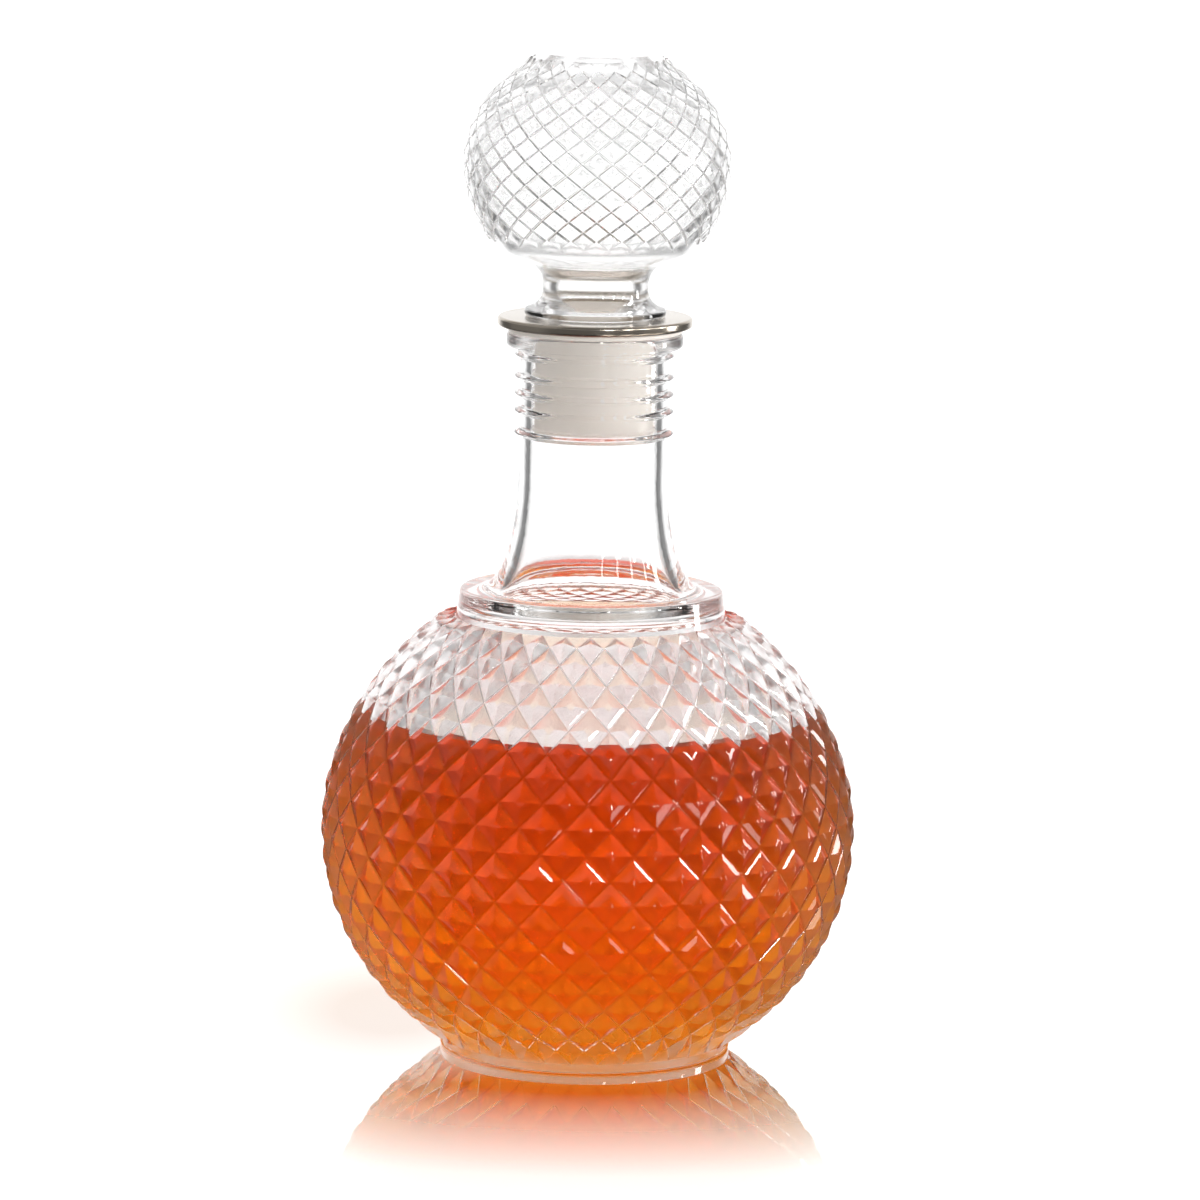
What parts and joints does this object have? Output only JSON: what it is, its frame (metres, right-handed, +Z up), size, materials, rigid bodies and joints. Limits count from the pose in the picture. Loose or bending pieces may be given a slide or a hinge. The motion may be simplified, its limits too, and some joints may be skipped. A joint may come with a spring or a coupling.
{
  "type": "cut glass decanter",
  "caption": "Globe decanter in diamond-cut clear glass with a smooth flared neck, part filled with amber spirit, and a lift-out hollow ball stopper with a metal collar and a ribbed sleeve.",
  "frame": {"origin": "middle of the foot, on the plane that the decanter stands on", "axes": "+Z up along the axis of the bottle and stopper; the part is the same all the way round, so +X is free"},
  "size_m": [0.1288, 0.1288, 0.2402],
  "materials": {
    "clear_glass": "fire-polished clear pressed glass",
    "amber_spirit": "clear amber liquid",
    "milky_polythene": "translucent milky white, satin",
    "bronzed_metal": "polished, dark with a bronze cast"
  },
  "bodies": {
    "bottle": {"decanter_bottle": "clear_glass", "spirit_fill": "amber_spirit"},
    "collar": {"stopper_collar": "bronzed_metal"},
    "stopper": {"stopper_sleeve": "milky_polythene", "stopper_knob": "clear_glass"}
  },
  "joints": [
    {"name": "stopper_lift", "type": "slide", "parent": "bottle", "child": "collar", "axis": [0, 0, 1], "range_m": [0, 0.045]},
    {"name": "stopper_turn", "type": "hinge", "parent": "collar", "child": "stopper", "pos_m": [0, 0, 0.177], "axis": [0, 0, 1], "continuous": true}
  ]
}
